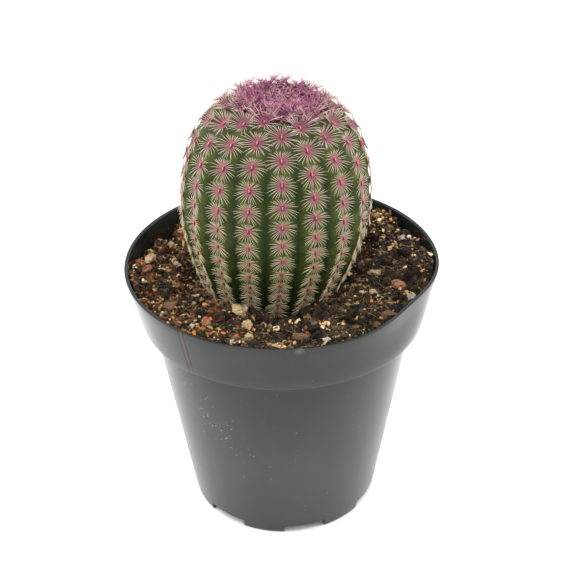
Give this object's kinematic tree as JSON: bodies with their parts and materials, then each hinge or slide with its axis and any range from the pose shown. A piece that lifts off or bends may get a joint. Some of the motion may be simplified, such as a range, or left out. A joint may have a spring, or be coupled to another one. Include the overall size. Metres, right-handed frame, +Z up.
{
  "type": "potted round cactus",
  "caption": "Ribbed barrel-shaped rainbow cactus with comb-like pink and white spines, planted in gritty soil in a tapered nursery pot with a collared rim, drain holes and feet.",
  "frame": {"origin": "centre of the pot's footprint, on the surface that its feet stand on", "axes": "+Z up along the pot's axis; -Y is the front, and +X is to the right"},
  "size_m": [0.1048, 0.1048, 0.1523],
  "materials": {
    "pot": "satin black moulded plastic, dusty, with fine mould lines and light scuffs",
    "soil": "loose crumbly peat mix, dark brown, matt",
    "stem": "waxy green plant skin, fine-pored, satin",
    "spines": "smooth needle-like spines, magenta at the base and creamy white at the tips",
    "young_spines": "glossy young spines, deep magenta with pale pink tips",
    "roots": "fibrous pale brown root bark",
    "pumice": "porous tan stone, matt",
    "perlite": "white foamed mineral grain, matt",
    "lava": "porous reddish brown stone, matt",
    "bark": "fibrous dark brown bark chip, matt"
  },
  "bodies": {
    "root": {"pot": "pot", "soil": "soil", "cactus_stem": "stem", "spine_row_01": "spines", "spine_row_02": "spines", "spine_row_03": "spines", "spine_row_04": "spines", "spine_row_05": "spines", "spine_row_06": "spines", "spine_row_07": "spines", "spine_row_08": "spines", "spine_row_09": "spines", "spine_row_10": "spines", "spine_row_11": "spines", "spine_row_12": "spines", "spine_row_13": "spines", "spine_row_14": "spines", "spine_row_15": "spines", "spine_row_16": "spines", "spine_row_17": "spines", "spine_row_18": "spines", "crown_tuft": "young_spines", "roots": "roots", "pumice_tan_01": "pumice", "pumice_tan_02": "pumice", "pumice_tan_03": "pumice", "pumice_tan_04": "pumice", "pumice_tan_05": "pumice", "pumice_tan_06": "pumice", "pumice_tan_07": "pumice", "pumice_tan_08": "pumice", "pumice_tan_09": "pumice", "pumice_tan_10": "pumice", "pumice_tan_11": "pumice", "pumice_tan_12": "pumice", "perlite_01": "perlite", "perlite_02": "perlite", "perlite_03": "perlite", "perlite_04": "perlite", "perlite_05": "perlite", "perlite_06": "perlite", "lava_01": "lava", "lava_02": "lava", "lava_03": "lava", "lava_04": "lava", "bark_01": "bark", "bark_02": "bark", "bark_03": "bark", "bark_04": "bark", "bark_05": "bark"}
  },
  "joints": []
}
